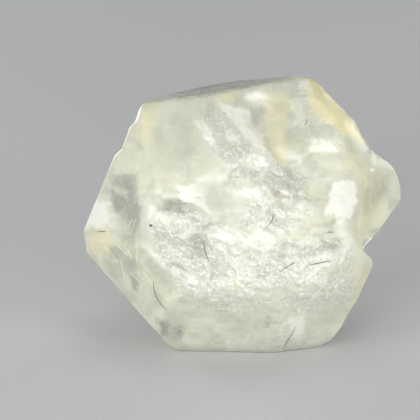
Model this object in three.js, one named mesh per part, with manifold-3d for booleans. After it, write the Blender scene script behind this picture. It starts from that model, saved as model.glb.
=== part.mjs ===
// One loose phenakite crystal, 14.2 mm across: a stout six-sided crystal with flat side and back faces, a hackly
// broken front, and a smaller worn crystal grown into its right side.
// Millimetres, +Z up, -Y towards the viewer. The origin is at the middle of the base.
import * as THREE from "three";
import { ImprovedNoise } from "three/addons/math/ImprovedNoise.js";
import { mergeVertices } from "three/addons/utils/BufferGeometryUtils.js";
import Module from "manifold-3d";

const wasm = await Module();
wasm.setup();
const noise = new ImprovedNoise();
const { smoothstep } = THREE.MathUtils;

// The crystal's own frame has its long axis along Y, and is turned about X to stand on its resting face.
const lean = THREE.MathUtils.degToRad(22);
const restingDepth = 5.75; // from the crystal's centre down to the face that it stands on

// Each flat face: the way it looks, and its distance from the crystal's centre.
const restingFace = { name: "resting", out: [0, Math.sin(lean), -Math.cos(lean)], away: restingDepth };
const sideFaces = [
  { name: "top", out: [-0.163, -0.142, 0.976], away: 5.8 },
  { name: "topLeftCorner", out: [-0.5, -0.05, 0.86], away: 6.68 },
  { name: "topLeftBack", out: [-0.33, 0.3, 0.9], away: 6.22 },
  { name: "topRightBack", out: [0.2, 0.3, 0.93], away: 6.08 },
  { name: "upperRight", out: [0.7206, 0.02, 0.6933], away: 6.5 },
  { name: "upperRightLow", out: [0.861, 0.03, 0.508], away: 6.46 },
  { name: "right", out: [1, 0.05, -0.06], away: 5.86 },
  { name: "lowerRight", out: [0.906, 0.04, -0.423], away: 6.17 },
  { name: "lowerRightCorner", out: [0.78, -0.05, -0.62], away: 6.6 },
  { name: "bottomRightCorner", out: [0.36, -0.1, -0.92], away: 6.64 },
  { name: "lowerLeft", out: [-0.747, 0.03, -0.664], away: 6.36 },
  { name: "bottomLeftCorner", out: [-0.52, -0.1, -0.85], away: 6.72 },
  { name: "left", out: [-0.965, 0.04, 0.261], away: 6.74 },
  { name: "leftEdge", out: [-0.995, 0.03, -0.1], away: 7.16 },
  { name: "upperLeft", out: [-0.845, 0.02, 0.535], away: 6.42 },
  { name: "topLeft", out: [-0.92, 0.02, 0.39], away: 6.3 },
];
const frontFaces = [
  { name: "leftWindow", out: [-0.66, -0.74, 0.12], away: 5.18 },
  { name: "leftLowWindow", out: [-0.62, -0.64, -0.45], away: 5.46 },
  { name: "bottomSlope", out: [-0.04, -0.64, -0.77], away: 4.74 },
  { name: "bottomSlopeRight", out: [0.3, -0.6, -0.74], away: 5.06 },
  { name: "lowerRightSlope", out: [0.5, -0.77, -0.4], away: 5.2 },
  { name: "rightSlope", out: [0.52, -0.84, 0.16], away: 4.86 },
  { name: "upperRightBevel", out: [0.66, -0.42, 0.62], away: 6.3 },
  { name: "lowerRightBevel", out: [0.82, -0.44, -0.38], away: 6.12 },
];
const backFaces = [
  { name: "backTop", out: [0, 0.794, 0.607], away: 4.85 },
  { name: "backLowerLeft", out: [-0.526, 0.794, -0.304], away: 4.75 },
  { name: "backLowerRight", out: [0.526, 0.794, -0.304], away: 4.65 },
  { name: "backUpperLeft", out: [-0.66, 0.62, 0.42], away: 5.5 },
  { name: "backUpperRight", out: [0.66, 0.62, 0.42], away: 5.45 },
  { name: "backEnd", out: [0.05, 0.995, 0.08], away: 4.7 },
];

// The broken front, in x and z. Heights are towards the viewer.
const front = { height: 3.95, fallUp: 0.072, fallDown: 0.02, fallAside: 0.028, backAt: 7 };
const grid = { width: 20, step: 0.19, turn: 0.6, jitter: 0.15, jitterAcross: 0.3 };
// Shell-shaped scoops left by the break: each is part of a ball's surface.
const scoops = [
  { x: -1.35, z: 0.55, radius: 1.9, depth: 0.42 },
  { x: -0.2, z: -0.05, radius: 2.2, depth: 0.34 },
  { x: -3.0, z: -0.7, radius: 2.4, depth: 0.5 },
  { x: -2.6, z: 3.3, radius: 6.0, depth: 0.3 },
  { x: 1.75, z: 1.95, radius: 2.4, depth: 0.36 },
  { x: 0.3, z: 3.9, radius: 3.4, depth: 0.4 },
  { x: 3.0, z: 3.6, radius: 3.2, depth: 0.42 },
  { x: -1.2, z: -2.4, radius: 4.2, depth: 0.3 },
  { x: 2.7, z: -2.5, radius: 4.6, depth: 0.34 },
  { x: 0.9, z: -1.2, radius: 1.8, depth: 0.26 },
];
// Ledges across the front: the side that `down` points to lies `drop` lower, and rises again further on.
const ledges = [
  { x: -3.0, z: 0.5, down: [-0.25, -0.97], drop: 0.4, reach: 2.1 },
  { x: 0.9, z: 3.1, down: [0.86, 0.5], drop: 0.46, reach: 2.2 },
  { x: 2.6, z: 2.7, down: [0.3, -0.95], drop: 0.34, reach: 1.7 },
  { x: 3.3, z: 0.6, down: [0.94, -0.34], drop: 0.4, reach: 1.3 },
  { x: 0.2, z: -1.6, down: [0.15, -0.99], drop: 0.26, reach: 2.8 },
  { x: 4.2, z: -1.5, down: [-0.1, 0.99], drop: 0.4, reach: 1.6 },
];
const ledgeShape = { width: 0.22, rise: 2.5, wander: 0.3, wanderAcross: 1.1, fadeFrom: 0.7, fadeTo: 1.4 };
// Rough patches: rubble of small chips, high in the middle and fading at the rim.
const roughPatches = [
  { x: 1.3, z: 0.3, wide: 2.9, tall: 3.0, chips: 1 },
  { x: -2.3, z: -0.9, wide: 2.6, tall: 1.7, chips: 0.9 },
  { x: -0.3, z: 2.8, wide: 1.7, tall: 2.4, chips: 0.8 },
  { x: 3.8, z: -1.2, wide: 2.3, tall: 1.4, chips: 0.7 },
  { x: -0.9, z: -2.4, wide: 3.4, tall: 1.3, chips: 0.6 },
  { x: 2.8, z: 4.0, wide: 2.3, tall: 1.7, chips: 0.7 },
];
const patchRim = { from: 0.4, to: 1.15 };
// Chips of two sizes. Each is a small flat tilted face; slopes are rise over run.
const chipSizes = [
  { across: 2.1, slope: 0.5 },
  { across: 0.95, slope: 0.6 },
];
const chipScatter = 0.42; // how far a chip's middle strays, as a share of its size

// The grown-in crystal on the right: a worn, rounded end with a few flat sides.
const lobe = {
  centre: [4.9, 0.1, 0.82],
  half: [2.19, 2.9, 2.4],
  turns: 44,
  swell: 0.03,
  flats: [
    { name: "lobeUnder", out: [0.79, 0.05, -0.614], away: 5.2 },
    { name: "lobeFront", out: [0.75, -0.64, 0.1], away: 5.46 },
    { name: "lobeEnd", out: [0.97, 0.06, 0.243], away: 7.08 },
    { name: "lobeTop", out: [0.59, 0.05, 0.81], away: 5.79 },
    { name: "lobeShoulder", out: [0.5, -0.6, 0.62], away: 5.1 },
    { name: "lobeBack", out: [0.7, 0.7, 0.1], away: 5.6 },
  ],
};

// Notches along the crystal's long axis, as corners in x and z: three small growth steps, and the cleft that also
// makes room for the grown-in crystal.
const growthSteps = [
  [[-5.42, 2.93], [-6.6, 2.0], [-4.9, 4.4]],
  [[-4.84, 4.12], [-5.7, 3.4], [-4.45, 5.4]],
  [[-6.36, 1.84], [-7.4, 1.15], [-5.8, 3.4]],
];
const cleft = [[5.3, -1.56], [8, -4.0], [8, 2.95], [5.68, 2.95]];
const notchLength = 24;

const crystalColour = 0xdadcc8;

// A closed three.js geometry as a manifold solid.
function solidFrom(geometry) {
  geometry.deleteAttribute("normal");
  geometry.deleteAttribute("uv");
  const merged = mergeVertices(geometry, 1e-5);
  return new wasm.Manifold(
    new wasm.Mesh({
      numProp: 3,
      vertProperties: merged.attributes.position.array,
      triVerts: new Uint32Array(merged.index.array),
    }),
  );
}

function geometryFrom(solid) {
  const mesh = solid.getMesh();
  const geometry = new THREE.BufferGeometry();
  geometry.setAttribute("position", new THREE.BufferAttribute(new Float32Array(mesh.vertProperties), 3));
  geometry.setIndex(new THREE.BufferAttribute(new Uint32Array(mesh.triVerts), 1));
  return geometry;
}

// Cuts away all that lies beyond each flat face.
function cutToFaces(solid, faces) {
  const size = 40;
  const cutters = faces.map(({ out, away }) => {
    const normal = new THREE.Vector3(...out).normalize();
    const turn = new THREE.Quaternion().setFromUnitVectors(new THREE.Vector3(0, 0, 1), normal);
    const block = new THREE.BoxGeometry(size, size, size);
    block.applyQuaternion(turn);
    block.translate(...normal.multiplyScalar(away + size / 2).toArray());
    return solidFrom(block);
  });
  return cutters.reduce((left, cutter) => left.subtract(cutter), solid);
}

// A repeatable value between -1 and 1 for one cell of a lattice.
function cellValue(column, row, layer) {
  const turns = 43758.5453 * Math.sin(127.1 * column + 311.7 * row + 74.7 * layer);
  return 2 * (turns - Math.floor(turns)) - 1;
}

// The height of the chips of one size: scattered cells, each with its own flat, tilted face.
function chipHeight(x, z, { across, slope }, layer) {
  const column = Math.floor(x / across);
  const row = Math.floor(z / across);
  let nearest = Infinity;
  let height = 0;
  for (let i = column - 1; i <= column + 1; i++) {
    for (let j = row - 1; j <= row + 1; j++) {
      const pastX = x - (i + 0.5 + chipScatter * cellValue(i, j, layer)) * across;
      const pastZ = z - (j + 0.5 + chipScatter * cellValue(i, j, layer + 1)) * across;
      const distance = Math.hypot(pastX, pastZ);
      if (distance >= nearest) continue;
      nearest = distance;
      height = slope * (pastX * cellValue(i, j, layer + 2) + pastZ * cellValue(i, j, layer + 3));
    }
  }
  return height;
}

function roughness(x, z) {
  return roughPatches.reduce((most, patch) => {
    const far = Math.hypot((x - patch.x) / patch.wide, (z - patch.z) / patch.tall);
    return Math.max(most, patch.chips * (1 - smoothstep(far, patchRim.from, patchRim.to)));
  }, 0);
}

// How far a ledge lowers the front at x, z.
function ledgeDrop(x, z, ledge) {
  const wander = ledgeShape.wander * noise.noise(x / ledgeShape.wanderAcross, z / ledgeShape.wanderAcross, ledge.x);
  const past = (x - ledge.x) * ledge.down[0] + (z - ledge.z) * ledge.down[1] + wander;
  const along = Math.hypot(x - ledge.x, z - ledge.z) / ledge.reach;
  const fade = 1 - smoothstep(along, ledgeShape.fadeFrom, ledgeShape.fadeTo);
  return ledge.drop * fade * smoothstep(past, 0, ledgeShape.width) * Math.max(0, 1 - past / ledgeShape.rise);
}

// How far the broken front stands towards the viewer at x, z.
function frontHeight(x, z) {
  const fall = z > 0 ? front.fallUp : front.fallDown;
  const dome = front.height - front.fallAside * x * x - fall * z * z;
  const ground = ledges.reduce((height, ledge) => height - ledgeDrop(x, z, ledge), dome);
  const chips = chipSizes.reduce((sum, size, i) => sum + chipHeight(x, z, size, 4 * i), 0);
  let height = ground + roughness(x, z) * chips;
  for (const scoop of scoops) {
    const across = Math.hypot(x - scoop.x, z - scoop.z);
    if (across >= scoop.radius) continue;
    const centre = ground - scoop.depth + scoop.radius;
    height = Math.min(height, centre - Math.sqrt(scoop.radius ** 2 - across ** 2));
  }
  return height;
}

// A block whose front is the broken surface and whose other sides lie outside the crystal. Its grid is turned and
// shaken, so that its rows don't show.
function brokenBlock() {
  const lines = Math.round(grid.width / grid.step);
  const block = new THREE.BoxGeometry(grid.width, 2, grid.width, lines, 1, lines);
  block.rotateY(grid.turn);
  const point = block.attributes.position;
  for (let i = 0; i < point.count; i++) {
    if (point.getY(i) > 0) {
      point.setY(i, front.backAt);
      continue;
    }
    const across = point.getX(i) / grid.jitterAcross;
    const up = point.getZ(i) / grid.jitterAcross;
    const x = point.getX(i) + grid.jitter * noise.noise(across, up, 2.5);
    const z = point.getZ(i) + grid.jitter * noise.noise(across, up, 8.5);
    point.setXYZ(i, x, -frontHeight(x, z), z);
  }
  return solidFrom(block);
}

// The worn crystal grown into the right side.
function lobeSolid() {
  const ball = new THREE.SphereGeometry(1, lobe.turns, lobe.turns / 2);
  const point = ball.attributes.position;
  for (let i = 0; i < point.count; i++) {
    const [x, y, z] = [point.getX(i), point.getY(i), point.getZ(i)];
    const size = 1 + lobe.swell * noise.noise(x * 2, y * 2, z * 2);
    point.setXYZ(i, x * size, y * size, z * size);
  }
  ball.scale(...lobe.half);
  ball.translate(...lobe.centre);
  return cutToFaces(solidFrom(ball), lobe.flats);
}

// A notch with its corners in x and z, running the whole length of the crystal.
function notchSolid(corners) {
  const outline = new THREE.Shape(corners.map(([x, z]) => new THREE.Vector2(x, z)));
  const notch = new THREE.ExtrudeGeometry(outline, { depth: notchLength, bevelEnabled: false });
  notch.translate(0, 0, -notchLength / 2);
  notch.rotateX(Math.PI / 2); // the outline's second direction becomes Z
  return solidFrom(notch);
}

function crystalSolid() {
  let body = cutToFaces(brokenBlock(), [...sideFaces, ...frontFaces, ...backFaces]);
  for (const corners of [...growthSteps, cleft]) body = body.subtract(notchSolid(corners));
  return cutToFaces(body.add(lobeSolid()), [restingFace]);
}

// Stands the crystal on its resting face, with the origin at the middle of the base.
function standUp(geometry) {
  geometry.rotateX(-lean);
  geometry.computeBoundingBox();
  const { min, max } = geometry.boundingBox;
  geometry.translate(-(min.x + max.x) / 2, -(min.y + max.y) / 2, -min.z);
  return geometry;
}

const material = new THREE.MeshStandardMaterial({ color: crystalColour, roughness: 0.35, metalness: 0 });
const crystal = new THREE.Mesh(standUp(geometryFrom(crystalSolid())), material);
crystal.name = "crystal";

const part = new THREE.Group();
part.add(crystal);
export default part;
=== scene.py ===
import math

import bmesh
import bpy
import numpy as np
from mathutils import Matrix, Vector, noise
from mathutils.bvhtree import BVHTree


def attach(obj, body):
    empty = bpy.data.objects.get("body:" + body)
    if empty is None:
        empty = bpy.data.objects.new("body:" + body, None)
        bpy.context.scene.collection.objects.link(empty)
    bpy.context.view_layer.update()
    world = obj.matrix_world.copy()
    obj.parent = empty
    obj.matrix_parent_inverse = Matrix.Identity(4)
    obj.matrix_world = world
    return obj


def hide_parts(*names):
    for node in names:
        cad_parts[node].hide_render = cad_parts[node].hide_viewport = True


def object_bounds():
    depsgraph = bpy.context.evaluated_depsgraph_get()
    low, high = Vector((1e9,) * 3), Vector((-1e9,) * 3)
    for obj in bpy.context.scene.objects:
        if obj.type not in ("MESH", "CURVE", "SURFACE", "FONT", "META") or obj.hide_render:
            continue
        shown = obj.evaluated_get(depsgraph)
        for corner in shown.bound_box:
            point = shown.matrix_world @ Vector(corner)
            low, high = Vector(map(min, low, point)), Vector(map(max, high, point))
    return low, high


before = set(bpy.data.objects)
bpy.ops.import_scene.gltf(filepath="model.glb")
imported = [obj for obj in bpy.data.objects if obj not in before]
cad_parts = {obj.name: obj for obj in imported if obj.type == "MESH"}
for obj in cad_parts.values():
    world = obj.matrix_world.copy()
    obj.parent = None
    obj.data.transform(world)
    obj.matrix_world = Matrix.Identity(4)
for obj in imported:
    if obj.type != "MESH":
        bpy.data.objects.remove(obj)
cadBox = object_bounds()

mm = 0.001

# The crystal's own frame, in mm: X to the right, Y away from the viewer and Z up the broken front.
crystalLean = math.radians(22)
crystalMiddle = Vector((0.031, -0.205, 5.75))
crystalFrame = Matrix.Translation(crystalMiddle) @ Matrix.Rotation(-crystalLean, 4, "X")

# Places on the front are given by pixels of the photograph.
photo = {"width": 420, "mmPerPixel": 0.045, "middlePixel": (243, 215)}


def fromPixel(px, py):  # x and z in the crystal's frame
    scale = photo["mmPerPixel"]
    return (px - photo["middlePixel"][0]) * scale, (photo["middlePixel"][1] - py) * scale


# Camera, light and floor.

view = {"distance": 160, "sensor": 36, "clip": (0.01, 5)}


def makeCamera():
    data = bpy.data.cameras.new("macroCamera")
    half = photo["width"] / 2
    aimX, aimZ = fromPixel(half, half)
    data.sensor_width = view["sensor"]
    data.lens = view["sensor"] * view["distance"] / (photo["width"] * photo["mmPerPixel"])
    data.clip_start, data.clip_end = view["clip"]
    camera = bpy.data.objects.new("macroCamera", data)
    place = crystalFrame @ Vector((aimX, -view["distance"], aimZ)) * mm
    turn = Matrix.Rotation(math.radians(90) - crystalLean, 4, "X")
    camera.matrix_world = Matrix.Translation(place) @ turn
    bpy.context.scene.collection.objects.link(camera)
    bpy.context.scene.camera = camera


softLights = [  # places and sizes in mm, power in watts
    {"name": "keyLight", "at": (-60, -140, 65), "size": (70, 70), "power": 0.125, "tint": (1, 0.99, 0.97)},
    {"name": "lowLight", "at": (25, -150, 24), "size": (110, 40), "power": 0.21, "tint": (1, 1, 0.98)},
    {"name": "rightLight", "at": (120, -105, 45), "size": (60, 60), "power": 0.125, "tint": (1, 0.99, 0.96)},
    {"name": "leftLight", "at": (-140, -80, 45), "size": (60, 60), "power": 0.14, "tint": (1, 0.99, 0.95)},
    {"name": "topLight", "at": (10, 20, 150), "size": (80, 80), "power": 0.04, "tint": (1, 1, 1)},
    {"name": "backLight", "at": (-115, 115, 30), "size": (70, 50), "power": 0.12, "tint": (1, 1, 0.98)},
    {"name": "backRightLight", "at": (125, 105, 45), "size": (70, 60), "power": 0.08, "tint": (1, 1, 0.98)},
]
room = {"colour": (0.70, 0.70, 0.70), "strength": 0.44}


def makeLights():
    for soft in softLights:
        data = bpy.data.lights.new(soft["name"], "AREA")
        data.shape = "RECTANGLE"
        data.size, data.size_y = soft["size"][0] * mm, soft["size"][1] * mm
        data.energy, data.color = soft["power"], soft["tint"]
        light = bpy.data.objects.new(soft["name"], data)
        at = Vector(soft["at"])
        aim = crystalMiddle - at
        light.matrix_world = Matrix.Translation(at * mm) @ aim.to_track_quat("-Z", "Y").to_matrix().to_4x4()
        bpy.context.scene.collection.objects.link(light)
    world = bpy.data.worlds.new("paleRoom")
    bpy.context.scene.world = world
    world.use_nodes = True
    background = world.node_tree.nodes["Background"]
    background.inputs["Color"].default_value = (*room["colour"], 1)
    background.inputs["Strength"].default_value = room["strength"]


floorLook = {"width": 700, "colour": (0.4, 0.41, 0.42), "roughness": 0.8}


def makeFloor():
    mesh = bpy.data.meshes.new("paleFloor")
    half = floorLook["width"] / 2 * mm
    corners = [(-half, -half, 0), (half, -half, 0), (half, half, 0), (-half, half, 0)]
    mesh.from_pydata(corners, [], [(0, 1, 2, 3)])
    floor = bpy.data.objects.new("paleFloor", mesh)
    bpy.context.scene.collection.objects.link(floor)
    material, _, _, shader = newMaterial("paleFloor")
    shader.inputs["Base Color"].default_value = (*floorLook["colour"], 1)
    shader.inputs["Roughness"].default_value = floorLook["roughness"]
    mesh.materials.append(material)


# Shared shader parts.

def newMaterial(name):
    material = bpy.data.materials.new(name)
    material.use_nodes = True
    nodes, links = material.node_tree.nodes, material.node_tree.links
    return material, nodes, links, nodes["Principled BSDF"]


def addNode(nodes, kind, x, y, **values):
    node = nodes.new(kind)
    node.location = (x, y)
    for key, value in values.items():
        setattr(node, key, value)
    return node


def mixColours(nodes, links, factor, first, second, x, y):
    mix = addNode(nodes, "ShaderNodeMix", x, y, data_type="RGBA")
    for socket, value in (("Factor", factor), ("A", first), ("B", second)):
        target = [s for s in mix.inputs if s.name == socket and s.enabled][0]
        if isinstance(value, bpy.types.NodeSocket):
            links.new(value, target)
        elif socket == "Factor":
            target.default_value = value
        else:
            target.default_value = (*value, 1)
    return [s for s in mix.outputs if s.enabled][0]


def mathStep(nodes, links, operation, first, second, x, y, clamp=False):
    step = addNode(nodes, "ShaderNodeMath", x, y, operation=operation, use_clamp=clamp)
    for i, value in enumerate((first, second)):
        if isinstance(value, bpy.types.NodeSocket):
            links.new(value, step.inputs[i])
        else:
            step.inputs[i].default_value = value
    return step.outputs[0]


def remap(nodes, links, value, low, high, outLow, outHigh, x, y):
    ramp = addNode(nodes, "ShaderNodeMapRange", x, y, interpolation_type="SMOOTHSTEP")
    links.new(value, ramp.inputs["Value"])
    for name, number in (("From Min", low), ("From Max", high), ("To Min", outLow), ("To Max", outHigh)):
        ramp.inputs[name].default_value = number
    return ramp.outputs["Result"]


def newGroup(name, inputs, outputs):
    group = bpy.data.node_groups.new(name, "ShaderNodeTree")
    for label, kind, value in inputs:
        socket = group.interface.new_socket(label, in_out="INPUT", socket_type=kind)
        if value is not None:
            socket.default_value = value
    for label, kind in outputs:
        group.interface.new_socket(label, in_out="OUTPUT", socket_type=kind)
    start = addNode(group.nodes, "NodeGroupInput", -900, 0)
    end = addNode(group.nodes, "NodeGroupOutput", 600, 0)
    return group, group.nodes, group.links, start.outputs, end.inputs


def placeGroup(nodes, links, group, x, y, **values):
    node = addNode(nodes, "ShaderNodeGroup", x, y, node_tree=group)
    for key, value in values.items():
        socket = node.inputs[key]
        if isinstance(value, bpy.types.NodeSocket):
            links.new(value, socket)
        else:
            socket.default_value = value
    return node.outputs


def makeVeilGroup():  # wispy cloud, stretched one way as healed cracks are
    inputs = [
        ("Point", "NodeSocketVector", None), ("Size", "NodeSocketFloat", 1.0),
        ("Stretch", "NodeSocketVector", (1, 1, 1)),
        ("Low", "NodeSocketFloat", 0.4), ("High", "NodeSocketFloat", 0.6),
    ]
    group, nodes, links, given, out = newGroup("wispyVeil", inputs, [("Veil", "NodeSocketFloat")])
    stretch = addNode(nodes, "ShaderNodeVectorMath", -700, 0, operation="MULTIPLY")
    links.new(given["Point"], stretch.inputs[0])
    links.new(given["Stretch"], stretch.inputs[1])
    cloud = addNode(nodes, "ShaderNodeTexNoise", -480, 0)
    links.new(stretch.outputs[0], cloud.inputs["Vector"])
    perSize = mathStep(nodes, links, "DIVIDE", 1.0, given["Size"], -700, -200)
    links.new(perSize, cloud.inputs["Scale"])
    cloud.inputs["Detail"].default_value = 6
    cloud.inputs["Roughness"].default_value = 0.62
    cloud.inputs["Distortion"].default_value = 0.6
    ramp = addNode(nodes, "ShaderNodeMapRange", -200, 0, interpolation_type="SMOOTHSTEP")
    links.new(cloud.outputs["Fac"], ramp.inputs["Value"])
    links.new(given["Low"], ramp.inputs["From Min"])
    links.new(given["High"], ramp.inputs["From Max"])
    links.new(ramp.outputs["Result"], out["Veil"])
    return group


grainShape = {"chance": (0.1, 0.6), "edge": (0.15, 0.55)}  # how many grains are bright, and how they fade


# The bright lines, grains and specks are partly frosted fracture white and partly painted sparkle of glints.
def makeFlakeGroup():  # wavy edge lines, a shade for each flake, fine bright grains and scattered specks
    inputs = [
        ("Point", "NodeSocketVector", None), ("Size", "NodeSocketFloat", 0.3),
        ("Line Width", "NodeSocketFloat", 0.1), ("Grain Size", "NodeSocketFloat", 0.2),
        ("Speck Size", "NodeSocketFloat", 0.4), ("Speck Width", "NodeSocketFloat", 0.1),
    ]
    outputs = [(name, "NodeSocketFloat") for name in ("Line", "Shade", "Grain", "Speck")]
    group, nodes, links, given, out = newGroup("flakePattern", inputs, outputs)

    def cells(size, vector, feature, y):
        scale = mathStep(nodes, links, "DIVIDE", 1.0, size, -480, y - 150)
        node = addNode(nodes, "ShaderNodeTexVoronoi", -260, y, feature=feature)
        links.new(vector, node.inputs["Vector"])
        links.new(scale, node.inputs["Scale"])
        return node.outputs

    def peak(distance, low, high, y):  # 1 in the middle, 0 further away than high
        ramp = addNode(nodes, "ShaderNodeMapRange", 0, y, interpolation_type="SMOOTHSTEP")
        links.new(distance, ramp.inputs["Value"])
        for name, value in (("From Min", low), ("From Max", high), ("To Min", 1), ("To Max", 0)):
            if isinstance(value, bpy.types.NodeSocket):
                links.new(value, ramp.inputs[name])
            else:
                ramp.inputs[name].default_value = value
        return ramp.outputs["Result"]

    wave = addNode(nodes, "ShaderNodeTexNoise", -700, 260)
    links.new(given["Point"], wave.inputs["Vector"])
    links.new(mathStep(nodes, links, "DIVIDE", 1.0, given["Size"], -900, 260), wave.inputs["Scale"])
    wave.inputs["Detail"].default_value = 3
    waved = addNode(nodes, "ShaderNodeVectorMath", -480, 260, operation="MULTIPLY_ADD")
    links.new(wave.outputs["Color"], waved.inputs[0])
    links.new(given["Size"], waved.inputs[1])
    links.new(given["Point"], waved.inputs[2])
    edges = cells(given["Size"], waved.outputs[0], "DISTANCE_TO_EDGE", 200)
    links.new(peak(edges["Distance"], 0, given["Line Width"], 200), out["Line"])
    flakes = cells(given["Size"], waved.outputs[0], "F1", 0)
    split = addNode(nodes, "ShaderNodeSeparateColor", 0, 0)
    links.new(flakes["Color"], split.inputs[0])
    links.new(split.outputs[0], out["Shade"])
    grains = cells(given["Grain Size"], waved.outputs[0], "F1", -200)
    chance = addNode(nodes, "ShaderNodeSeparateColor", 0, -300)
    links.new(grains["Color"], chance.inputs[0])
    bright = remap(nodes, links, chance.outputs[1], *grainShape["chance"], 0, 1, 180, -300)
    spot = peak(grains["Distance"], *grainShape["edge"], -200)
    grain = mathStep(nodes, links, "MULTIPLY", spot, bright, 360, -200)
    links.new(grain, out["Grain"])
    specks = cells(given["Speck Size"], waved.outputs[0], "F1", -400)
    links.new(peak(specks["Distance"], 0, given["Speck Width"], -400), out["Speck"])
    return group


# The crystal's fine shape.

crystalShape = {  # lengths in mm, in the crystal's frame; wear and softening in rounds
    "voxel": 0.096, "quickVoxel": 0.2, "weld": 1e-4,
    "fineFrom": 0.45,        # the mesh is twice as fine where the front is more hackly than this
    "flatArea": 0.6,         # mm2; smaller flats belong to the broken front
    "sameFlat": {"turn": 0.9998, "offset": 0.012},  # cosine and mm within which triangles share a flat
    "borders": {             # where the parts of the front begin and end
        "frontDepth": -1.0, "brokenRight": 5.2, "rimRight": 5.4, "grownLeft": 5.0, "grownBackLeft": 5.6,
        "hackleLeft": -3.4, "hackleRight": 5.3, "hackleLow": -6, "hackleRise": 1.5,
        "swellLeft": -3.6, "swellRight": 5.0,
    },
    "steepness": {"border": 2, "rim": 6, "lowRim": 8, "notch": 1.6, "soft": 1.5},  # of the masks' edges
    "edgeCut": 0.2,          # how much of a mask's weak edge is left out
    "facing": {"front": 3, "frontFrom": 0.2, "seen": 8},  # how a point's direction counts as front or as seen
    "edgeWear": 2,           # smoothing rounds, everywhere
    "frontWear": 6,          # more of them on the broken front
    "rimWear": 25,           # on its rim
    "lowRimWear": 160,       # on the lower rim, which is hardly an edge
    "grownWear": 110,        # on the grown-in crystal
    "joinWear": 220,         # and where it joins the front
    "wearStep": 0.6,         # how far one round moves a point towards the middle of its neighbours
    "grownBack": 50,         # rounds that soften the size given back to the worn grown-in crystal
    "lowRim": -2.3,          # the lower rim is below this
    "maskSoftening": 12, "lowRimSoftening": 45, "directionSoftening": 5,
    "join": {"across": 5.6, "reach": 1.1, "low": -1.45, "high": 4.2, "back": 2.0},
    "bulge": {"across": 7.1, "up": 1.35, "reach": 0.85, "height": 0.14},  # the grown-in crystal's outer side
    "swells": {"size": 1.5, "height": 0.1, "seed": 5.0},  # broad soft swells of the front
    "chips": [               # sizes and steepness of the fine flat chips
        {"size": 0.62, "slope": 0.26, "step": 0.014, "seed": 3.0},
        {"size": 0.3, "slope": 0.27, "step": 0.009, "seed": 11.0},
        {"size": 0.16, "slope": 0.22, "step": 0.004, "seed": 23.0},
    ],
    "chipStretch": 0.62, "chipTurn": -38,  # the chips are longer along this turn, in degrees
    "chipWarp": 0.45, "chipWarpScale": 0.8, "liftSeed": 5,
    "flakes": [              # thin wavy ledges: bands of a broad swell, each rising to a small step
        {"size": 1.6, "bands": 9, "height": 0.024, "seed": 31.0},
        {"size": 0.75, "bands": 6, "height": 0.013, "seed": 47.0},
    ],
    "patchiness": {"size": 1.0, "low": 0.7, "contrast": 1.6, "seed": 61.0},  # how the hackle comes and goes
    "leastHackle": 0.2, "calming": 0.9, "frontShare": 0.9,  # outside the zones, in the calm ones, on flats
    "furthestChip": 0.065, "chipWear": 3, "chipWearStep": 0.4,
    "sharpAngle": 30,
    "zoneWobble": {"size": 8, "reach": 1.6},  # in pixels of the photograph
    "noiseSeed": 1,          # without a seed, the noise vectors are new in each run
}

# Zones of the front: an outline in pixels of the photograph, how softly it ends in pixels, and how
# strong the zone is.
hackleZones = [
    ([(232, 160), (262, 150), (305, 178), (308, 215), (280, 235), (238, 226), (246, 205),
      (228, 178)], 8, 1.0),
    ([(150, 222), (190, 210), (262, 240), (352, 238), (358, 262), (268, 282), (190, 286),
      (158, 262)], 8, 0.85),
    ([(193, 118), (224, 112), (262, 160), (240, 176), (214, 158)], 6, 0.8),
    ([(174, 180), (196, 180), (204, 214), (184, 216)], 5, 0.7),
    ([(286, 84), (306, 76), (348, 128), (340, 152), (300, 148)], 8, 0.45),
    ([(214, 102), (234, 106), (262, 134), (262, 156), (236, 134)], 4, 0.5),
    ([(268, 262), (360, 256), (340, 320), (270, 300)], 10, 0.5),
    ([(158, 258), (200, 276), (350, 262), (360, 290), (332, 318), (196, 312), (170, 296)], 14, 0.78),
    ([(172, 296), (350, 296), (334, 336), (196, 336)], 10, 0.42),
]
# Calm zones: smoother, duller parts of the front; their colour is darkened as painted shade, for the greyer
# see-through look of smooth crystal.
calmAndShadeZones = [
    ([(199, 183), (216, 180), (245, 206), (240, 222), (222, 224), (206, 208)], 7, 0.9),
    ([(148, 114), (188, 108), (200, 148), (216, 176), (176, 180), (146, 172)], 12, 0.8),
    ([(267, 90), (289, 92), (290, 150), (282, 168), (268, 158)], 7, 0.7),
    ([(331, 180), (358, 180), (358, 206), (347, 220), (318, 215)], 3, 0.9),
    ([(248, 174), (258, 174), (259, 184), (248, 184)], 3, 0.9),
]
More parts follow.
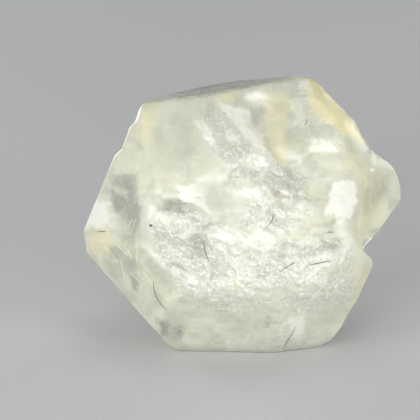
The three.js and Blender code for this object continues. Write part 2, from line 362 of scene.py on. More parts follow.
# White zones: frosted white fracture and veils, and painted highlights and glows, marked below.
whiteAndHighlightZones = [
    # partly a white cleavage plane, partly the painted flash of light it reflects
    ([(216, 102), (230, 105), (250, 111), (254, 125), (265, 136), (264, 156), (250, 144), (236, 129),
      (224, 115)], 3.5, 0.88),
    ([(193, 121), (203, 120), (216, 140), (219, 150), (212, 150), (200, 134)], 3, 0.75),
    ([(223, 129), (241, 129), (240, 145), (226, 143)], 3, 0.6),
    ([(304, 139), (335, 138), (336, 153), (322, 156), (305, 152)], 6, 0.72),
    ([(300, 150), (316, 147), (318, 152), (288, 154)], 3, 0.5),
    # painted reflection: a facet's bright patch of reflected light
    ([(331, 181), (353, 181), (356, 202), (347, 219), (320, 214)], 3.5, 0.92),
    ([(177, 182), (194, 186), (200, 208), (190, 206), (180, 197)], 5, 0.85),
    ([(172, 172), (180, 172), (184, 186), (176, 184)], 4, 0.5),
    ([(207, 224), (233, 226), (256, 236), (252, 245), (225, 243), (208, 236)], 3, 0.6),
    ([(162, 222), (185, 215), (200, 222), (190, 238), (168, 236)], 5, 0.3),
    ([(196, 322), (330, 318), (316, 352), (206, 352)], 12, 0.35),
    ([(236, 160), (262, 152), (266, 166), (244, 172)], 3, 0.7),
    ([(233, 174), (262, 176), (276, 200), (262, 214), (240, 196)], 5, 0.45),
    ([(276, 190), (304, 190), (302, 212), (282, 208)], 4, 0.55),
    ([(272, 228), (300, 220), (322, 226), (318, 246), (286, 250)], 5, 0.5),
    ([(293, 79), (309, 79), (312, 93), (300, 95)], 2, 0.6),
    ([(314, 116), (334, 118), (330, 128), (316, 126)], 3, 0.5),
    ([(262, 318), (300, 306), (316, 324), (304, 342), (280, 345)], 9, 0.5),
    ([(286, 316), (303, 315), (307, 332), (292, 341)], 5, 0.9),
    ([(222, 296), (232, 300), (272, 346), (262, 347)], 5, 0.32),
    ([(180, 340), (196, 336), (262, 349), (258, 353)], 4, 0.3),
    ([(310, 290), (316, 292), (306, 312), (300, 310)], 3, 0.4),
    ([(178, 300), (184, 306), (196, 330), (190, 332)], 5, 0.35),
    # painted glow: light gathered at the left edge
    ([(84, 204), (108, 204), (112, 224), (84, 226)], 11, 1.5),
    # painted glint: a bright dot on the lobe
    ([(369, 168), (373, 168), (373, 172), (369, 172)], 2, 1.2),
    ([(180, 262), (196, 270), (204, 286), (190, 284)], 4, 0.5),
]
strawZones = [
    ([(267, 93), (287, 93), (288, 140), (283, 166), (272, 160), (266, 130)], 6, 0.52),
    ([(300, 74), (316, 76), (352, 118), (362, 142), (340, 132), (312, 112)], 5, 1.25),
    ([(142, 102), (158, 104), (152, 140), (140, 142)], 8, 0.42),
    ([(354, 150), (382, 180), (384, 222), (354, 236)], 9, 0.28),
    ([(364, 266), (370, 276), (346, 330), (334, 340), (350, 300)], 3, 0.4),
    ([(276, 214), (292, 214), (292, 228), (278, 228)], 4, 0.5),
    ([(234, 278), (242, 278), (240, 288), (233, 286)], 3, 0.5),
    ([(88, 228), (112, 228), (112, 256), (92, 254)], 5, 0.35),
    ([(218, 94), (236, 92), (234, 102), (220, 103)], 3, 0.5),
    ([(340, 150), (372, 156), (368, 176), (345, 176)], 5, 0.3),
]
# Grey zones: the clearer crystal's see-through darkness, painted as grey, and painted shade, marked below.
greyAndShadeZones = [
    ([(125, 175), (137, 174), (138, 204), (130, 206), (126, 192), (113, 184), (112, 176)], 4, 1.1),
    ([(108, 188), (126, 196), (140, 198), (143, 220), (136, 236), (128, 220), (116, 210)], 4, 1.15),
    # painted shade: greys the hackle's left rim, which the key light catches
    ([(139, 204), (149, 202), (150, 254), (141, 256)], 4, 0.55),
    ([(120, 234), (138, 232), (137, 243), (122, 244)], 3, 0.6),
    ([(132, 274), (140, 278), (140, 292), (132, 288)], 3, 0.9),
    ([(110, 246), (126, 247), (124, 259), (111, 258)], 3, 0.8),
    ([(125, 258), (136, 259), (136, 271), (127, 270)], 3, 0.8),
    ([(104, 260), (121, 262), (124, 281), (112, 276)], 4, 0.6),
    ([(156, 316), (171, 322), (173, 336), (162, 334)], 3, 1.1),
    ([(172, 323), (186, 326), (182, 338), (174, 337)], 3, 1.0),
    # painted shadow under the crescent ledge
    ([(151, 221), (158, 208), (172, 199), (190, 197), (192, 206), (186, 216), (168, 217),
      (160, 213)], 3, 0.85),
    # painted shade: the lobe's darker crescent
    ([(361, 214), (362, 192), (374, 180), (388, 176), (386, 190), (376, 204), (367, 215)], 5, 0.75),
    ([(266, 313), (270, 314), (269.5, 327), (266, 326)], 2.5, 0.75),
    ([(196, 292), (216, 296), (244, 322), (226, 322)], 6, 0.3),
    ([(162, 93), (200, 83), (270, 74), (300, 74), (262, 86), (220, 94), (180, 99)], 2, 0.82),
    ([(340, 286), (352, 276), (348, 300), (338, 304)], 4, 0.4),
    # painted shade over the bowl, which the key light lights brightly
    ([(203, 184), (222, 184), (246, 206), (242, 222), (222, 222), (206, 206)], 9, 0.5),
    # this and the next: painted shade along the lower rim's arc, which catches the low light
    ([(141, 236), (150, 232), (160, 266), (180, 288), (172, 294), (150, 272)], 5, 0.4),
    ([(147, 247), (153, 245), (168, 261), (188, 276), (272, 280), (272, 289), (185, 287),
      (164, 271)], 5, 0.4),
    ([(174, 128), (186, 122), (196, 150), (186, 160)], 8, 0.25),
]


def denseMesh(node, voxel):  # an even, closed copy of the solid, in mm
    mesh = node.data.copy()
    mesh.transform(Matrix.Scale(1 / mm, 4))
    solid = bmesh.new()
    solid.from_mesh(mesh)
    bmesh.ops.remove_doubles(solid, verts=solid.verts, dist=crystalShape["weld"])
    bmesh.ops.triangulate(solid, faces=solid.faces)
    solid.to_mesh(mesh)
    solid.free()
    holder = bpy.data.objects.new("crystalSource", mesh)
    bpy.context.scene.collection.objects.link(holder)
    even = holder.modifiers.new("even", "REMESH")
    even.mode, even.voxel_size, even.adaptivity = "VOXEL", voxel, 0
    ready = holder.evaluated_get(bpy.context.evaluated_depsgraph_get())
    dense = bpy.data.meshes.new_from_object(ready)
    bpy.data.objects.remove(holder)
    return mesh, dense


def flatFaces(mesh):  # for each triangle, True where it lies in a large flat face
    alike = crystalShape["sameFlat"]
    count = len(mesh.polygons)
    normals, areas, centres = np.zeros(count * 3), np.zeros(count), np.zeros(count * 3)
    mesh.polygons.foreach_get("normal", normals)
    mesh.polygons.foreach_get("area", areas)
    mesh.polygons.foreach_get("center", centres)
    normals = normals.reshape(-1, 3)
    away = (normals * centres.reshape(-1, 3)).sum(1)
    total = np.zeros(count)
    for i in range(count):
        same = (normals @ normals[i] > alike["turn"]) & (np.abs(away - away[i]) < alike["offset"])
        total[i] = areas[same].sum()
    return total > crystalShape["flatArea"]


def pointsOf(mesh):
    points = np.zeros(len(mesh.vertices) * 3)
    mesh.vertices.foreach_get("co", points)
    return points.reshape(-1, 3)


def edgesOf(mesh):
    edges = np.zeros(len(mesh.edges) * 2, dtype=np.int64)
    mesh.edges.foreach_get("vertices", edges)
    return edges.reshape(-1, 2)


def inCrystal(points, toCrystal):
    return points @ toCrystal[:3, :3].T + toCrystal[:3, 3]


def normalsOf(mesh):
    normals = np.zeros(len(mesh.vertices) * 3)
    mesh.vertex_normals.foreach_get("vector", normals)
    return normals.reshape(-1, 3)


def neighbourMean(values, edges, count):
    ends, others = edges.ravel(), edges[:, ::-1].ravel()
    number = np.bincount(ends, minlength=count)
    sums = [np.bincount(ends, weights=column[others], minlength=count) for column in values.T]
    return np.column_stack(sums) / np.maximum(number, 1)[:, None]


def soften(values, edges, rounds):
    for _ in range(rounds):
        values = (values + neighbourMean(values, edges, len(values))) / 2
    return values


def zonePixels(across, up):  # pixels of the photograph, moved about a little so that zones end raggedly
    x = photo["middlePixel"][0] + across / photo["mmPerPixel"]
    y = photo["middlePixel"][1] - up / photo["mmPerPixel"]
    size, reach = crystalShape["zoneWobble"]["size"], crystalShape["zoneWobble"]["reach"]
    places = [Vector((a / size, b / size, 0)) for a, b in zip(x, y)]
    wobble = np.array([noise.turbulence_vector(place, 2, False) for place in places])
    return x + reach * wobble[:, 0], y + reach * wobble[:, 1]


def zoneMask(x, y, zones):
    mask = np.zeros(len(x))
    for outline, soft, strength in zones:
        inside, near = np.zeros(len(x), dtype=bool), np.full(len(x), np.inf)
        for (ax, ay), (bx, by) in zip(outline, outline[1:] + outline[:1]):
            length = (bx - ax) ** 2 + (by - ay) ** 2
            share = np.clip(((x - ax) * (bx - ax) + (y - ay) * (by - ay)) / length, 0, 1)
            near = np.minimum(near, np.hypot(x - ax - share * (bx - ax), y - ay - share * (by - ay)))
            if ay != by:
                inside ^= ((ay > y) != (by > y)) & (x < (bx - ax) * (y - ay) / (by - ay) + ax)
        level = np.clip(0.5 + np.where(inside, near, -near) / (2 * soft), 0, 1)
        mask = np.maximum(mask, strength * level * level * (3 - 2 * level))
    return mask


def fade(depth, steepness):  # 0 outside a border, rising to 1 inside it
    return np.clip(depth * steepness, 0, 1)


def alongEdge(mask, steepness):  # 1 along the edge of a softened mask, 0 away from it
    return np.clip(steepness * mask * (1 - mask) - crystalShape["edgeCut"], 0, 1)


cellTurns = np.array([[127.1, 269.5, 419.2], [311.7, 183.3, 371.9], [74.7, 246.1, 168.5]])
cellScale = 43758.5453  # large, so that neighbouring cells get unlike values


def cellRandom(cells, seed):  # three repeatable values from 0 to 1 for each cell
    turns = np.sin(cells @ cellTurns + seed)
    return np.modf(np.abs(turns) * cellScale)[0]


def smoothNoise(points, kind):  # about -1 to 1 at each point
    shift = Vector((kind["seed"],) * 3)
    return np.array([noise.noise(Vector(p) / kind["size"] + shift) for p in points])


def chipHeights(local, chip):  # flat tilted chips, longer one way than the other
    turn = math.radians(crystalShape["chipTurn"])
    along = local[:, 0] * math.cos(turn) + local[:, 2] * math.sin(turn)
    aside = local[:, 2] * math.cos(turn) - local[:, 0] * math.sin(turn)
    points = np.column_stack((along * crystalShape["chipStretch"], local[:, 1], aside))
    points = points / chip["size"] + chip["seed"]
    warp = np.array([noise.noise_vector(Vector(p) * crystalShape["chipWarpScale"]) for p in points])
    points = points + crystalShape["chipWarp"] * warp
    nearest = np.array([noise.voronoi(Vector(p))[1][0] for p in points])
    tilt = cellRandom(np.round(nearest, 3), chip["seed"]) - 0.5
    lift = cellRandom(np.round(nearest, 3), chip["seed"] + crystalShape["liftSeed"])[:, 0] - 0.5
    return ((points - nearest) * tilt).sum(1) * 2 * chip["slope"] * chip["size"] + lift * 2 * chip["step"]


def flakeHeights(local, flake):
    band = smoothNoise(local, flake) * flake["bands"]
    return (band - np.floor(band) - 0.5) * flake["height"] * 2


def wearDown(mesh, tree, flat, toCrystal):  # back on to the solid, then worn where it is worn
    shape, borders, join = crystalShape, crystalShape["borders"], crystalShape["join"]
    steepness = shape["steepness"]
    count = len(mesh.vertices)
    edges = edgesOf(mesh)
    hits = [tree.find_nearest(v.co) for v in mesh.vertices]
    points = soften(np.array([hit[0] for hit in hits]), edges, shape["edgeWear"])
    across, away, up = inCrystal(points, toCrystal).T
    broken = np.array([not flat[hit[2]] for hit in hits])
    broken &= (away < borders["frontDepth"]) & (across < borders["brokenRight"])
    broken = soften(broken[:, None].astype(float), edges, shape["maskSoftening"])
    wide = soften(broken, edges, shape["lowRimSoftening"])
    inner = (across < borders["rimRight"])[:, None]
    rim = alongEdge(broken, steepness["rim"]) * inner
    lowRim = alongEdge(wide, steepness["lowRim"]) * inner
    lowRim *= fade(shape["lowRim"] - up, steepness["border"])[:, None]
    soft = steepness["soft"]
    nearJoin = np.clip(soft - soft * np.abs(across - join["across"]) / join["reach"], 0, 1)
    aboveNotch = fade(up - join["low"], steepness["notch"])
    nearJoin *= aboveNotch * fade(join["high"] - up, soft)
    nearJoin *= fade(join["back"] - away, steepness["border"])
    grown = fade(across - borders["grownLeft"], steepness["border"]) * aboveNotch
    wear = [(shape["frontWear"], np.maximum(fade(broken, steepness["border"]), grown[:, None])),
            (shape["rimWear"], rim),
            (shape["grownWear"], grown[:, None]),
            (shape["joinWear"], nearJoin[:, None]),
            (shape["lowRimWear"], lowRim)]
    start = points
    for turn in range(max(rounds for rounds, _ in wear)):
        share = np.max([where for rounds, where in wear if turn < rounds], axis=0)
        points = points + share * (neighbourMean(points, edges, count) - points) * shape["wearStep"]
    lost = soften(start - points, edges, shape["grownBack"])
    points = points + lost * fade(across - borders["grownBackLeft"], steepness["border"])[:, None]
    bulge = shape["bulge"]
    near = np.exp(-((across - bulge["across"]) ** 2 + (up - bulge["up"]) ** 2) / bulge["reach"] ** 2)
    points = points + (near * grown * bulge["height"])[:, None] * toCrystal[0, :3]
    mesh.vertices.foreach_set("co", points.ravel())
    layer = mesh.attributes.new("broken", "FLOAT", "POINT")
    layer.data.foreach_set("value", broken[:, 0].astype(np.float32))
    mesh.update()


def refineFront(mesh, toCrystal):  # halves the mesh size on the hackly parts
    across, away, up = inCrystal(pointsOf(mesh), toCrystal).T
    hackly = zoneMask(*zonePixels(across, up), hackleZones) > crystalShape["fineFrom"]
    hackly &= away < crystalShape["borders"]["frontDepth"]
    solid = bmesh.new()
    solid.from_mesh(mesh)
    fine = [e for e in solid.edges if hackly[e.verts[0].index] and hackly[e.verts[1].index]]
    bmesh.ops.subdivide_edges(solid, edges=fine, cuts=1, use_grid_fill=True)
    bmesh.ops.triangulate(solid, faces=[f for f in solid.faces if len(f.verts) > 4])
    solid.to_mesh(mesh)
    solid.free()


def hackleMask(points, local, broken, front, calm, zones):  # how hackly each point is
    shape, borders, steepness = crystalShape, crystalShape["borders"], crystalShape["steepness"]
    across, _, up = local.T
    hackle = np.maximum(zones, shape["leastHackle"]) * (1 - shape["calming"] * calm)
    hackle = hackle * fade(borders["hackleRight"] - across, steepness["soft"])
    slopes = front * fade(across - borders["hackleLeft"], steepness["border"])
    slopes = slopes * np.clip((up - borders["hackleLow"]) / borders["hackleRise"], 0, 1)
    hackle *= np.maximum(broken, slopes)
    patchy = shape["patchiness"]
    patches = np.clip(0.5 + patchy["contrast"] * smoothNoise(points, patchy), 0, 1)
    return hackle * (patchy["low"] + (1 - patchy["low"]) * patches)


def makeCrystal():
    shape, borders = crystalShape, crystalShape["borders"]
    noise.seed_set(shape["noiseSeed"])
    voxel = shape["voxel"]
    source, mesh = denseMesh(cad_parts["crystal"], voxel)
    flat = flatFaces(source)
    tree = BVHTree.FromPolygons([v.co for v in source.vertices], [p.vertices for p in source.polygons])
    toCrystal = np.array(crystalFrame.inverted())
    wearDown(mesh, tree, flat, toCrystal)
    refineFront(mesh, toCrystal)
    count = len(mesh.vertices)
    points = pointsOf(mesh)
    broken = np.zeros(count)
    mesh.attributes["broken"].data.foreach_get("value", broken)
    local = inCrystal(points, toCrystal)
    across, _, up = local.T
    normals = normalsOf(mesh)
    facing = -(normals @ toCrystal[:3, :3].T)[:, 1]
    onFront = np.clip(facing * shape["facing"]["front"] - shape["facing"]["frontFrom"], 0, 1)
    front = shape["frontShare"] * onFront
    seen = fade(facing, shape["facing"]["seen"])
    x, y = zonePixels(across, up)
    calm = zoneMask(x, y, calmAndShadeZones)
    hackle = hackleMask(points, local, broken, front, calm, zoneMask(x, y, hackleZones))
    swells = shape["swells"]
    onSlopes = onFront * (across > borders["swellLeft"]) * (across < borders["swellRight"])
    points = points + normals * (smoothNoise(points, swells) * swells["height"] * onSlopes)[:, None]
    edges = edgesOf(mesh)
    normals = soften(normals, edges, shape["directionSoftening"])
    normals /= np.linalg.norm(normals, axis=1)[:, None]
    local = inCrystal(points, toCrystal)
    chips = sum(chipHeights(local, chip) for chip in shape["chips"])
    chips += sum(flakeHeights(local, flake) for flake in shape["flakes"])
    limit = shape["furthestChip"]
    points = points + normals * (np.clip(chips, -limit, limit) * hackle)[:, None]
    for _ in range(shape["chipWear"]):
        share = (shape["chipWearStep"] * hackle)[:, None]
        points = points + share * (neighbourMean(points, edges, count) - points)
    low, high = np.array(cadBox[0]) / mm, np.array(cadBox[1]) / mm
    points = np.clip(points, low, high)
    mesh.vertices.foreach_set("co", (points * mm).ravel())
    layers = {"hackle": hackle, "dull": np.maximum(broken, front), "calm": calm * seen}
    # white carries painted highlights and glows as well as frosted white; grey and calm carry painted shade
    # as well
    for name, zones in (("white", whiteAndHighlightZones), ("straw", strawZones), ("grey", greyAndShadeZones)):
        layers[name] = zoneMask(x, y, zones) * seen
    for name, values in layers.items():
        layer = mesh.attributes.new(name, "FLOAT", "POINT")
        layer.data.foreach_set("value", values.astype(np.float32))
    mesh.update()
    mesh.set_sharp_from_angle(angle=math.radians(shape["sharpAngle"]))
    crystal = bpy.data.objects.new("phenakiteCrystal", mesh)
    mesh.name = "phenakiteCrystal"
    mesh.materials.clear()
    mesh.materials.append(makeCrystalMaterial())
    bpy.context.scene.collection.objects.link(crystal)
    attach(crystal, "root")
    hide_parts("crystal")
    print("crystal:", count, "points,", sum(len(p.vertices) - 2 for p in mesh.polygons), "triangles")
    return crystal


crystalLook = {
    # white also gives painted highlights and glows; grey, milkShade in the calm zones and hackleShade in part
    # give painted shade
    "milk": (0.73, 0.74, 0.645), "milkShade": (0.59, 0.605, 0.525), "white": (0.99, 0.99, 0.93),
    "straw": (0.86, 0.78, 0.45), "grey": (0.36, 0.38, 0.355),
    "transmission": 0.6, "ior": 1.66,
    "subsurface": 1.0, "subsurfaceReach": 1.6, "subsurfaceRadius": (1.0, 0.95, 0.75),
    "absorb": (0.93, 0.925, 0.77), "absorbDensity": 80,
    "smoothRoughness": 0.12, "brokenRoughness": 0.42,
    "shine": 0.06, "whiteDulling": 0.12, "calmDulling": 0.2,  # how far these change the roughness
    "veil": {"Size": 1.1, "Low": 0.42, "High": 0.62}, "calmShade": 0.55,
    "fineVeil": {"Size": 0.34, "Low": 0.4, "High": 0.6},
    "wisps": {"Size": 0.9, "Low": 0.52, "High": 0.72, "Stretch": (0.5, 1.0, 1.8)}, "wispShare": 0.45,
    "greyLeast": 0.55, "strawLeast": 0.6,  # how far the veils thin out the grey and the straw
    "hackleShade": (0.58, 0.59, 0.56), "hackleShadeFrom": (0.2, 0.9), "hackleShadeShare": 0.9,
    "hackleWhite": 0.12, "whiteGaps": 0.36, "whiteFrom": (0.05, 0.85), "whiteShare": 0.95,
    "flakes": {"Size": 0.3, "Line Width": 0.1, "Grain Size": 0.12, "Speck Size": 0.42, "Speck Width": 0.1},
    "grain": 1.0, "line": 0.3, "speck": 0.9, "patternRise": 1.5,
    "rises": {"Size": 0.16, "Low": 0.3, "High": 0.7}, "fineRise": 0.15, "bump": 0.45, "bumpDistance": 0.012,
}


def crystalPoint(nodes, links, x, y):  # object position in mm, in the crystal's frame
    where = addNode(nodes, "ShaderNodeTexCoord", x - 200, y)
    turn = addNode(nodes, "ShaderNodeMapping", x, y, vector_type="POINT")
    links.new(where.outputs["Object"], turn.inputs["Vector"])
    turn.inputs["Scale"].default_value = (1 / mm,) * 3
    turn.inputs["Rotation"].default_value = (crystalLean, 0, 0)
    return turn.outputs["Vector"]


def makeCrystalMaterial():
    look = crystalLook
    material, nodes, links, shader = newMaterial("cloudyPhenakite")
    point = crystalPoint(nodes, links, -1600, 0)

    def step(operation, first, second, x, y, clamp=False):
        return mathStep(nodes, links, operation, first, second, x, y, clamp)

    def blend(factor, first, second, x, y):
        return mixColours(nodes, links, factor, first, second, x, y)

    def spread(value, low, high, outLow, outHigh, x, y):
        return remap(nodes, links, value, low, high, outLow, outHigh, x, y)

    def veilFrom(name, y):
        return placeGroup(nodes, links, veilGroup, -1300, y, Point=point, **look[name])["Veil"]

    masks = {}
    for i, name in enumerate(("hackle", "dull", "calm", "white", "straw", "grey")):
        read = addNode(nodes, "ShaderNodeAttribute", -1600, -250 - 160 * i, attribute_name=name)
        masks[name] = read.outputs["Fac"]
    veil = veilFrom("veil", 200)
    fine = veilFrom("fineVeil", 0)
    wisps = veilFrom("wisps", 400)
    rises = veilFrom("rises", -200)
    flakes = placeGroup(nodes, links, flakeGroup, -1300, -600, Point=point, **look["flakes"])

    # milk and its veils, with the grey and straw zones and the hackle's shade over them
    # painted shade: the calm zones darkened towards milkShade
    calmShade = step("MULTIPLY", masks["calm"], look["calmShade"], -1000, 450)
    shade = step("MAXIMUM", veil, calmShade, -800, 450)
    colour = blend(shade, look["milk"], look["milkShade"], -1000, 300)
    wispShare = step("MULTIPLY", wisps, look["wispShare"], -800, 600)
    colour = blend(wispShare, colour, look["white"], -800, 300)
    # grey: the clear crystal's see-through darkness and painted shade in hollows and over lit rims
    thinGrey = spread(fine, 0, 1, look["greyLeast"], 1, -1000, 0)
    colour = blend(step("MULTIPLY", masks["grey"], thinGrey, -800, 100), colour, look["grey"], -600, 250)
    thinStraw = spread(veil, 0, 1, 1, look["strawLeast"], -1000, -100)
    colour = blend(step("MULTIPLY", masks["straw"], thinStraw, -800, -50), colour, look["straw"], -420, 250)
    # the hackle's greyer ground: partly its own tone, partly painted shade where the front faces the low
    # light
    shadeShare = spread(masks["hackle"], *look["hackleShadeFrom"], 0, look["hackleShadeShare"], -420, 400)
    colour = blend(shadeShare, colour, look["hackleShade"], -320, 300)

    # white: its zones and a little of the hackle, with gaps, then the lines, grains and specks; partly
    # frosted white, partly painted highlights, glints and glows
    hackleWhite = step("MULTIPLY", masks["hackle"], look["hackleWhite"], -1000, -300)
    white = step("ADD", masks["white"], hackleWhite, -800, -250)
    white = step("SUBTRACT", white, spread(fine, 0, 1, 0, look["whiteGaps"], -1000, -450), -620, -250)
    white = spread(white, *look["whiteFrom"], 0, look["whiteShare"], -420, -250)
    # the lines, grains and specks: frosted edges of fine flakes and painted glints
    line = step("MULTIPLY", flakes["Line"], look["line"], -1000, -600)
    grain = step("MULTIPLY", flakes["Grain"], look["grain"], -1000, -650)
    line = step("MAXIMUM", line, grain, -900, -600)
    pattern = step("MULTIPLY", masks["hackle"], look["patternRise"], -1000, -700, True)
    line = step("MULTIPLY", line, pattern, -860, -600)
    speck = step("MULTIPLY", flakes["Speck"], look["speck"], -860, -700)
    white = step("MAXIMUM", white, line, -320, -350)
    white = step("MAXIMUM", white, speck, -320, -400)
    colour = blend(white, colour, look["white"], -220, 250)
    links.new(colour, shader.inputs["Base Color"])

    # duller where it is broken, white or calm, shinier on single flakes
    rough = spread(masks["dull"], 0, 1, look["smoothRoughness"], look["brokenRoughness"], -420, -450)
    shine = step("MULTIPLY", flakes["Shade"], masks["hackle"], -620, -620)
    rough = step("SUBTRACT", rough, step("MULTIPLY", shine, look["shine"], -420, -620), -220, -450)
    whiteDull = step("MULTIPLY", white, look["whiteDulling"], -220, -620)
    rough = step("ADD", rough, whiteDull, -40, -450, True)
    calmDull = step("MULTIPLY", masks["calm"], look["calmDulling"], -40, -620)
    rough = step("ADD", rough, calmDull, 100, -450, True)
    links.new(rough, shader.inputs["Roughness"])

    height = step("MULTIPLY", rises, masks["hackle"], -500, -800)
    height = step("ADD", height, step("MULTIPLY", fine, look["fineRise"], -500, -950), -300, -800)
    bump = addNode(nodes, "ShaderNodeBump", -100, -800)
    links.new(height, bump.inputs["Height"])
    bump.inputs["Strength"].default_value = look["bump"]
    bump.inputs["Distance"].default_value = look["bumpDistance"] * mm
    links.new(bump.outputs["Normal"], shader.inputs["Normal"])

    shader.inputs["Transmission Weight"].default_value = look["transmission"]
    shader.inputs["IOR"].default_value = look["ior"]
    shader.inputs["Subsurface Weight"].default_value = look["subsurface"]
    shader.inputs["Subsurface Radius"].default_value = look["subsurfaceRadius"]
    shader.inputs["Subsurface Scale"].default_value = look["subsurfaceReach"] * mm
    inside = addNode(nodes, "ShaderNodeVolumeAbsorption", 100, -500)
    inside.inputs["Color"].default_value = (*look["absorb"], 1)
    inside.inputs["Density"].default_value = look["absorbDensity"]
    links.new(inside.outputs["Volume"], nodes["Material Output"].inputs["Volume"])
    return material


# Lint and fine lines laid on the front.

lint = {
    "radius": 0.017, "taper": 0.35, "step": 0.08, "sides": 6,
    "colour": (0.035, 0.035, 0.045), "paler": 2.2, "roughness": 0.6,
    "wisps": {"Size": 0.25, "Low": 0.4, "High": 0.6},
}
lintPaths = [  # pixels of the photograph
    [(203.5, 239), (205, 250), (209, 261)],
    [(272, 213), (270.5, 220), (266, 227)],
    [(294, 261), (286, 265.5), (279, 270.5)],
    [(306, 264.5), (317, 262), (328, 260)],
    [(154, 279), (155.5, 291), (160, 301), (167.5, 309)],
    [(295.5, 325.5), (289, 337), (282.5, 350)],
    [(306, 120), (305, 124), (303, 127)],
    [(324.5, 232), (327.5, 231.6), (331, 232)],
    [(150.3, 225), (152, 225.3), (153.8, 225)],  # this and the next two are one dark speck
    [(150.8, 224.3), (152, 224.5), (153, 224.3)],
    [(150.6, 225.7), (152, 226), (153, 225.7)],
    [(99, 231), (103, 231.2), (107, 231)],
]


def smoothPath(corners, step):  # even points on a smooth curve through the corners
    corners = [np.array(c, dtype=float) for c in corners]
    ends = [2 * corners[0] - corners[1], *corners, 2 * corners[-1] - corners[-2]]
    path = [corners[0]]
    for a, b, c, d in zip(ends, ends[1:], ends[2:], ends[3:]):
        pieces = max(2, int(np.linalg.norm(c - b) / step))
        for i in range(1, pieces + 1):
            t = i / pieces
            bend = (2 * a - 5 * b + 4 * c - d) * t ** 2
            twist = (3 * b - a - 3 * c + d) * t ** 3
            path.append(0.5 * (2 * b + (c - a) * t + bend + twist))
    return np.array(path)


dropFrom = 20  # mm in front of the crystal


def layOnFront(tree, path, lift):  # path of x and z in the crystal's frame, dropped on to the front
    toFront = crystalFrame.to_3x3() @ Vector((0, 1, 0))
    depths = []
    for x, z in path:
        start = crystalFrame @ Vector((x, -dropFrom, z)) * mm
        hit = tree.ray_cast(start, toFront)
        depths.append((hit[0] - start).length / mm - dropFrom if hit[0] else np.nan)
    depths = np.array(depths)
    known = ~np.isnan(depths)
    depths = np.interp(np.arange(len(depths)), np.flatnonzero(known), depths[known])
    padded = np.pad(depths, 2, mode="edge")
    bridged = np.min([padded[i:i + len(depths)] for i in range(5)], axis=0)  # strands bridge the small pits
    kernel = np.array([1, 2, 3, 2, 1]) / 9
    level = np.convolve(np.pad(bridged, 2, mode="edge"), kernel, mode="valid") - lift
    return [crystalFrame @ Vector((x, y, z)) for (x, z), y in zip(path, level)]


strandSide = Vector((0.3, -1, 0.2))  # no strand runs along this


def addStrand(strands, points, radius, sides, taper):  # a closed thin tube along points, in mm
    rings = []
    last = len(points) - 1
    for i, point in enumerate(points):
        ahead = (points[min(i + 1, last)] - points[max(i - 1, 0)]).normalized()
        side = ahead.cross(strandSide).normalized()
        other = ahead.cross(side)
        size = radius * (1 - (1 - taper) * abs(2 * i / last - 1) ** 3)
        ring = []
        for turn in (2 * math.pi * k / sides for k in range(sides)):
            out = side * math.cos(turn) + other * math.sin(turn)
            ring.append(strands.verts.new((point + size * out) * mm))
        rings.append(ring)
    for ring, following in zip(rings, rings[1:]):
        for k in range(sides):
            strands.faces.new((ring[k], ring[(k + 1) % sides], following[(k + 1) % sides], following[k]))
    strands.faces.new(rings[0][::-1])
    strands.faces.new(rings[-1])


def strandObject(name, strands, material):
    bmesh.ops.recalc_face_normals(strands, faces=strands.faces)
    mesh = bpy.data.meshes.new(name)
    strands.to_mesh(mesh)
    strands.free()
    mesh.shade_smooth()
    mesh.materials.append(material)
    strand = bpy.data.objects.new(name, mesh)
    bpy.context.scene.collection.objects.link(strand)
    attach(strand, "root")


def makeLint(tree):
    strands = bmesh.new()
    for corners in lintPaths:
        path = smoothPath([fromPixel(*c) for c in corners], lint["step"])
        laid = layOnFront(tree, path, lint["radius"])
        addStrand(strands, laid, lint["radius"], lint["sides"], lint["taper"])
    material, nodes, links, shader = newMaterial("darkLint")
    point = crystalPoint(nodes, links, -900, 0)
    wisp = placeGroup(nodes, links, veilGroup, -600, 0, Point=point, **lint["wisps"])["Veil"]
    dark = lint["colour"]
    colour = mixColours(nodes, links, wisp, dark, tuple(lint["paler"] * c for c in dark), -300, 100)
    links.new(colour, shader.inputs["Base Color"])
    shader.inputs["Roughness"].default_value = lint["roughness"]
    strandObject("lintFibres", strands, material)
    print("lint:", len(lintPaths), "fibres")


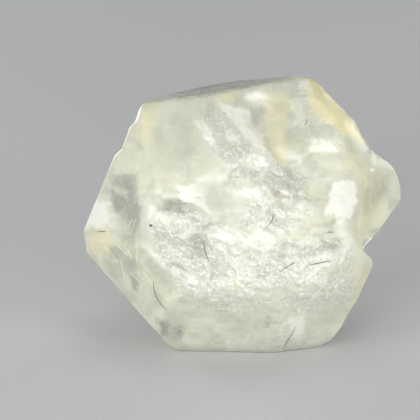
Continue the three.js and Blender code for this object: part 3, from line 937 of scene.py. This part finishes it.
# Fine white lines: needles under the left windows, and wavy threads on the front.
fineLine = {
    "taper": 0.2, "sink": 0.3, "step": 0.08, "sides": 6,
    "colour": (0.82, 0.83, 0.76), "darker": 0.9, "roughness": 0.5, "transmission": 0.3,
    "wisps": {"Size": 0.3, "Low": 0.35, "High": 0.65},
}
finePaths = [  # radius in mm, then pixels of the photograph
    (0.0080, [(133.7, 217.5), (131, 224), (128.7, 230)]),
    (0.0080, [(137, 219), (134.5, 226), (132.5, 232)]),
    (0.0065, [(104, 230.5), (113, 229), (122, 229.5)]),
    (0.0065, [(118, 236.5), (128, 234.5), (139, 234)]),
    (0.0080, [(113, 234), (120, 240), (126, 247)]),
    (0.0065, [(127, 246), (131, 253), (134, 261)]),
    (0.0065, [(107, 246), (114, 255), (118, 262)]),
    (0.0065, [(139, 268), (139.5, 278), (140, 288)]),
    (0.0065, [(131, 271), (136, 277), (143, 283)]),
    (0.0060, [(110, 173.8), (122, 174), (137, 173)]),
    (0.0060, [(131, 207), (137, 203), (143, 206)]),
    (0.0065, [(174, 292), (173.6, 306), (172.8, 321)]),
    (0.0090, [(138.7, 236), (138.4, 250), (137.5, 263)]),
    (0.0090, [(117.5, 244), (123, 249), (128.7, 255)]),
    (0.0090, [(121, 257.5), (123.5, 270), (126, 282.5)]),
    (0.0080, [(150, 237.5), (153, 251), (156, 265)]),
    (0.0090, [(141, 259), (150, 271), (161, 280)]),
    (0.0065, [(165, 235), (164, 244), (162.5, 252)]),
    (0.0080, [(168, 324), (169.5, 330), (171, 337)]),
    (0.0080, [(172.5, 324), (181, 328), (189, 331)]),
    (0.0080, [(161, 155), (164, 161), (167, 167.5)]),
    (0.0065, [(111, 240.5), (123, 240), (136, 239)]),
    (0.0065, [(110, 232.5), (120, 232), (131, 233)]),
    (0.0065, [(143, 268), (151, 281), (162, 293)]),
    (0.0060, [(128, 288), (136, 291), (144, 299)]),
    (0.0065, [(222, 250), (229, 253), (236, 254.5), (244, 251.5), (250, 253), (257, 251)]),
    (0.0065, [(228, 247), (236, 246), (243, 243.5)]),
    (0.0075, [(262, 268), (266, 272), (268.5, 278), (270.5, 270), (274, 267)]),
    (0.0060, [(270, 256), (280, 258), (290, 254), (299, 253)]),
    (0.0060, [(292, 149), (302, 156), (314, 160), (322, 161)]),
]


def makeFineLines(tree):
    strands = bmesh.new()
    for radius, corners in finePaths:
        path = smoothPath([fromPixel(*c) for c in corners], fineLine["step"])
        laid = layOnFront(tree, path, -fineLine["sink"] * radius)
        addStrand(strands, laid, radius, fineLine["sides"], fineLine["taper"])
    material, nodes, links, shader = newMaterial("whiteNeedle")
    point = crystalPoint(nodes, links, -900, 0)
    wisp = placeGroup(nodes, links, veilGroup, -600, 0, Point=point, **fineLine["wisps"])["Veil"]
    pale = fineLine["colour"]
    colour = mixColours(nodes, links, wisp, pale, tuple(fineLine["darker"] * c for c in pale), -300, 100)
    links.new(colour, shader.inputs["Base Color"])
    shader.inputs["Roughness"].default_value = fineLine["roughness"]
    shader.inputs["Transmission Weight"].default_value = fineLine["transmission"]
    strandObject("whiteNeedles", strands, material)
    print("fine lines:", len(finePaths))


# Build.

bpy.context.scene.view_settings.view_transform = "Standard"
veilGroup = makeVeilGroup()
flakeGroup = makeFlakeGroup()
makeCamera()
makeLights()
makeFloor()
print("camera, lights and floor: in place")
crystal = makeCrystal()
dressed = crystal.data
crystalTree = BVHTree.FromPolygons([v.co for v in dressed.vertices], [p.vertices for p in dressed.polygons])
makeLint(crystalTree)
makeFineLines(crystalTree)
